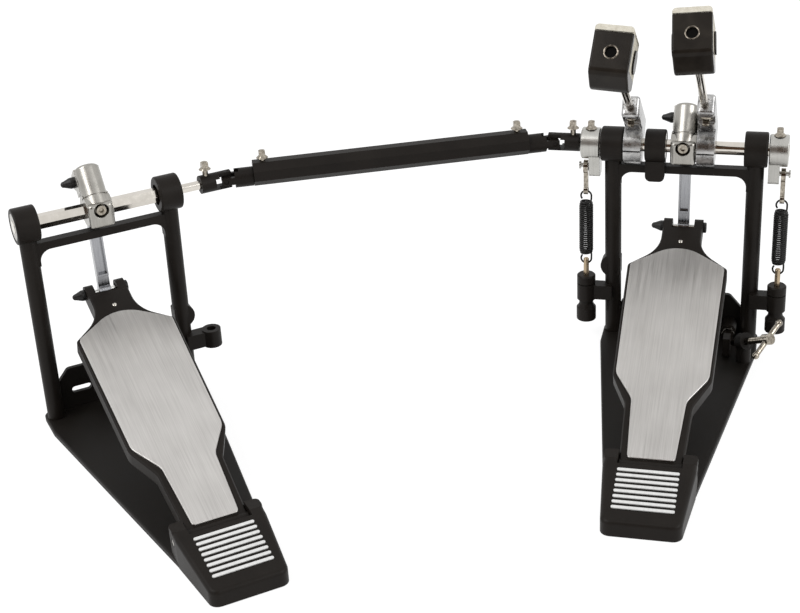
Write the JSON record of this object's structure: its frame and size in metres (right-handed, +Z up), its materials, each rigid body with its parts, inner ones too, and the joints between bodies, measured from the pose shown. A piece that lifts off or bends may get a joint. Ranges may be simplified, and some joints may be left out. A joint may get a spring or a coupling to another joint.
{
  "type": "double bass drum pedal",
  "caption": "Double bass drum pedal: main pedal carrying both sprung beaters, hoop clamp and footboard, driven also by a slave footboard through a telescoping jointed link shaft.",
  "frame": {"origin": "on the floor under the middle of the main pedal's shaft", "axes": "+X along the main shaft to the player's right, +Y toward the drum, +Z up"},
  "size_m": [0.6339, 0.495, 0.3553],
  "materials": {
    "black_casting": "satin black powder coat",
    "black_sheet": "satin black paint on sheet steel",
    "brushed_sheet": "brushed along the board",
    "cam_alloy": "satin machined",
    "bright_alloy": "polished casting",
    "bright_steel": "chrome plate",
    "key_steel": "warm chrome plate",
    "bearing_steel": "ground",
    "link_steel": "grey satin",
    "pin_plastic": "matt black grips on steel pins",
    "head_plastic": "moulded black",
    "felt": "pressed felt",
    "strip_plastic": "light grip strips",
    "spring_wire": "black spring wire",
    "eye_brass": "dulled brass"
  },
  "bodies": {
    "main_base": {"main_base_plate": "black_sheet", "main_frame": "black_casting", "main_bearings": "bearing_steel", "inner_bearing_hanger": "black_casting", "main_heel_plate": "black_casting", "main_heel_strips": "strip_plastic", "main_heel_pin": "bearing_steel", "main_hoop_plate": "black_sheet", "tension_eye_bolts": "eye_brass", "tension_lock_nuts": "black_casting"},
    "main_shaft": {"main_shaft": "bright_steel", "main_drive_cam": "cam_alloy", "main_beater_holder": "bright_alloy", "main_spring_rocker": "cam_alloy", "main_shaft_screws": "key_steel"},
    "main_footboard": {"main_footboard": "black_casting", "main_foot_plate": "brushed_sheet"},
    "main_link": {"main_link": "link_steel", "main_link_pins": "pin_plastic"},
    "main_beater_rod": {"main_beater_rod": "bright_steel"},
    "main_beater_head": {"main_beater_head": "head_plastic", "main_beater_felt": "felt"},
    "main_spring": {"main_spring": "spring_wire"},
    "main_spring_clip": {"main_spring_clip": "bright_steel"},
    "main_tension_knob": {"main_tension_knob": "black_casting"},
    "left_tension_knob": {"left_tension_knob": "black_casting"},
    "clamp_lever": {"clamp_lever": "black_casting", "clamp_bolt": "bright_steel"},
    "clamp_screw": {"clamp_screw": "bright_steel"},
    "beater_shaft": {"beater_shaft": "bright_steel", "left_beater_holder": "bright_alloy", "left_spring_rocker": "cam_alloy", "right_yoke": "black_casting", "beater_shaft_screws": "key_steel"},
    "left_beater_rod": {"left_beater_rod": "bright_steel"},
    "left_beater_head": {"left_beater_head": "head_plastic", "left_beater_felt": "felt"},
    "left_spring": {"left_spring": "spring_wire"},
    "left_spring_clip": {"left_spring_clip": "bright_steel"},
    "right_cross": {"right_cross": "bright_steel"},
    "drive_tube": {"drive_tube": "black_casting", "right_drive_rod": "black_casting", "drive_tube_screws": "key_steel"},
    "left_base": {"left_base_plate": "black_sheet", "left_frame": "black_casting", "left_bearings": "bearing_steel", "left_heel_plate": "black_casting", "left_heel_strips": "strip_plastic", "left_heel_pin": "bearing_steel", "left_hoop_plate": "black_sheet"},
    "left_shaft": {"left_shaft": "bright_steel", "left_drive_cam": "cam_alloy", "left_yoke": "black_casting", "left_shaft_screws": "key_steel"},
    "left_footboard": {"left_footboard": "black_casting", "left_foot_plate": "brushed_sheet"},
    "left_link": {"left_link": "link_steel", "left_link_pins": "pin_plastic"},
    "left_drive_rod": {"left_drive_rod": "black_casting"},
    "left_cross": {"left_cross": "bright_steel"}
  },
  "joints": [
    {"name": "main_shaft_swing", "type": "hinge", "parent": "main_base", "child": "main_shaft", "pos_m": [0, 0, 0.196], "axis": [-1, 0, 0], "range_deg": [0, 50], "stiffness_Nm_per_rad": 1.2, "springref_deg": -34.38},
    {"name": "main_footboard_hinge", "type": "hinge", "parent": "main_base", "child": "main_footboard", "pos_m": [0, -0.2459, 0.019], "axis": [-1, 0, 0], "range_deg": [0, 5.53]},
    {"name": "main_link_hinge", "type": "hinge", "parent": "main_shaft", "child": "main_link", "pos_m": [0, 0.02498, 0.21297], "axis": [-1, 0, 0], "range_deg": [-51.05, 0]},
    {"name": "main_beater_height", "type": "slide", "parent": "main_shaft", "child": "main_beater_rod", "axis": [-0.0332, -0.7238, 0.6892], "range_m": [-0.02, 0.02]},
    {"name": "main_beater_turn", "type": "hinge", "parent": "main_beater_rod", "child": "main_beater_head", "pos_m": [0.0193, 0.01379, 0.21048], "axis": [-0.0332, -0.7238, 0.6892], "continuous": true},
    {"name": "main_spring_swing", "type": "hinge", "parent": "main_base", "child": "main_spring", "pos_m": [0.086, 0, 0.0775], "axis": [1, 0, 0], "range_deg": [0, 9.71]},
    {"name": "main_spring_stretch", "type": "slide", "parent": "main_spring", "child": "main_spring_clip", "axis": [0, 0, 1], "range_m": [0, 0.00902], "deforming": ["main_spring"]},
    {"name": "main_tension_turn", "type": "hinge", "parent": "main_base", "child": "main_tension_knob", "pos_m": [0.086, 0, 0.03], "axis": [0, 0, 1], "continuous": true},
    {"name": "left_tension_turn", "type": "hinge", "parent": "main_base", "child": "left_tension_knob", "pos_m": [-0.086, 0, 0.03], "axis": [0, 0, 1], "continuous": true},
    {"name": "clamp_screw_turn", "type": "hinge", "parent": "main_base", "child": "clamp_screw", "pos_m": [0.0633, -0.036, 0.0262], "axis": [-0.6533, 0.6071, -0.4524], "range_deg": [0, 720]},
    {"name": "clamp_lever_hinge", "type": "hinge", "parent": "main_base", "child": "clamp_lever", "pos_m": [0.045, 0, 0.015], "axis": [0, -1, 0], "range_deg": [0, 5]},
    {"name": "link_shaft_telescope", "type": "slide", "parent": "main_base", "child": "left_base", "axis": [-0.9157, -0.4018, 0], "range_m": [0, 0.06]},
    {"name": "left_shaft_swing", "type": "hinge", "parent": "left_base", "child": "left_shaft", "pos_m": [-0.4725, -0.191, 0.196], "axis": [-0.7716, -0.6361, 0], "range_deg": [0, 50], "stiffness_Nm_per_rad": 1.2, "springref_deg": -34.38},
    {"name": "left_footboard_hinge", "type": "hinge", "parent": "left_base", "child": "left_footboard", "pos_m": [-0.31609, -0.38074, 0.019], "axis": [-0.7716, -0.6361, 0], "range_deg": [0, 5.53]},
    {"name": "left_link_hinge", "type": "hinge", "parent": "left_shaft", "child": "left_link", "pos_m": [-0.48839, -0.17173, 0.21297], "axis": [-0.7716, -0.6361, 0], "range_deg": [-51.05, 0]},
    {"name": "left_drive_rod_turn", "type": "hinge", "parent": "left_base", "child": "left_drive_rod", "pos_m": [-0.3833, -0.11747, 0.196], "axis": [-0.9157, -0.4018, 0], "range_deg": [0, 48.97]},
    {"name": "left_cross_turn", "type": "hinge", "parent": "left_drive_rod", "child": "left_cross", "pos_m": [-0.3833, -0.11747, 0.196], "axis": [-0.4018, 0.9157, 0], "range_deg": [-12.69, 0]},
    {"name": "drive_tube_turn", "type": "hinge", "parent": "main_base", "child": "drive_tube", "pos_m": [-0.1156, 0, 0.196], "axis": [-0.9157, -0.4018, 0], "range_deg": [0, 48.97]},
    {"name": "right_cross_turn", "type": "hinge", "parent": "drive_tube", "child": "right_cross", "pos_m": [-0.1156, 0, 0.196], "axis": [-0.4018, 0.9157, 0], "range_deg": [0, 19.24]},
    {"name": "beater_shaft_swing", "type": "hinge", "parent": "main_base", "child": "beater_shaft", "pos_m": [0, 0, 0.196], "axis": [-1, 0, 0], "range_deg": [0, 51.91]},
    {"name": "left_beater_height", "type": "slide", "parent": "beater_shaft", "child": "left_beater_rod", "axis": [-0.0157, -0.7933, 0.6087], "range_m": [-0.02, 0.02]},
    {"name": "left_beater_turn", "type": "hinge", "parent": "left_beater_rod", "child": "left_beater_head", "pos_m": [-0.044, 0.01218, 0.21187], "axis": [-0.0157, -0.7933, 0.6087], "continuous": true},
    {"name": "left_spring_swing", "type": "hinge", "parent": "main_base", "child": "left_spring", "pos_m": [-0.086, 0, 0.0775], "axis": [1, 0, 0], "range_deg": [0, 9.92]},
    {"name": "left_spring_stretch", "type": "slide", "parent": "left_spring", "child": "left_spring_clip", "axis": [0, 0, 1], "range_m": [0, 0.00956], "deforming": ["left_spring"]}
  ],
  "couplings": [
    {"joint": "main_footboard_hinge", "follows": "main_shaft_swing", "ratio": 0.10563},
    {"joint": "main_link_hinge", "follows": "main_shaft_swing", "ratio": -1.0159},
    {"joint": "main_spring_swing", "follows": "main_shaft_swing", "ratio": 0.18915},
    {"joint": "main_spring_stretch", "follows": "main_shaft_swing", "m_per_rad": 0.010276},
    {"joint": "left_footboard_hinge", "follows": "left_shaft_swing", "ratio": 0.10563},
    {"joint": "left_link_hinge", "follows": "left_shaft_swing", "ratio": -1.0159},
    {"joint": "left_drive_rod_turn", "follows": "left_shaft_swing", "ratio": 0.97436},
    {"joint": "drive_tube_turn", "follows": "left_shaft_swing", "ratio": 0.97436},
    {"joint": "left_cross_turn", "follows": "left_shaft_swing", "ratio": -0.24875},
    {"joint": "right_cross_turn", "follows": "left_shaft_swing", "ratio": 0.37976},
    {"joint": "beater_shaft_swing", "follows": "left_shaft_swing", "ratio": 1.0332},
    {"joint": "left_spring_swing", "follows": "left_shaft_swing", "ratio": 0.19345},
    {"joint": "left_spring_stretch", "follows": "left_shaft_swing", "m_per_rad": 0.010894},
    {"joint": "clamp_lever_hinge", "follows": "clamp_screw_turn", "ratio": 0.006944}
  ]
}
